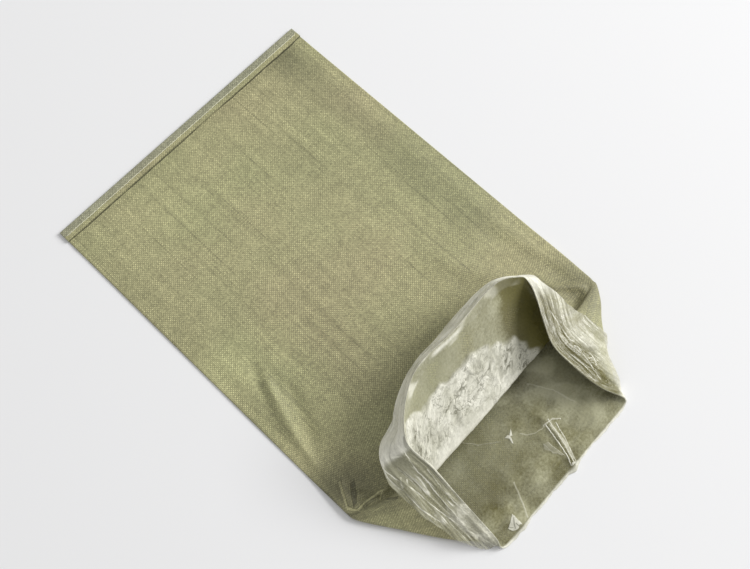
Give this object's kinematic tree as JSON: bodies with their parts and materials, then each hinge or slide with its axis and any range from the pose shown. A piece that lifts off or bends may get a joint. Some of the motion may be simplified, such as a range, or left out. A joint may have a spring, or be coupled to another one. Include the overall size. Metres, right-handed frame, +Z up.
{
  "type": "cement bag",
  "caption": "Empty woven cement sack lying flat, sewn shut at one end, with its open mouth folded back and a clear film liner turned out over the rim.",
  "frame": {"origin": "on the floor under the middle of the sack's overall length and width", "axes": "+X along the sack from its sewn end towards its mouth, +Y across its width, +Z up from the floor it lies on"},
  "size_m": [0.792, 0.5, 0.0896],
  "materials": {
    "woven_polypropylene": "matte woven tape, grey olive",
    "polyethylene_film": "thin clear film, slightly milky, creased",
    "sewing_thread": "matte cotton"
  },
  "bodies": {
    "root": {"woven_sack": "woven_polypropylene", "film_liner": "polyethylene_film", "hem_thread": "sewing_thread"}
  },
  "joints": []
}
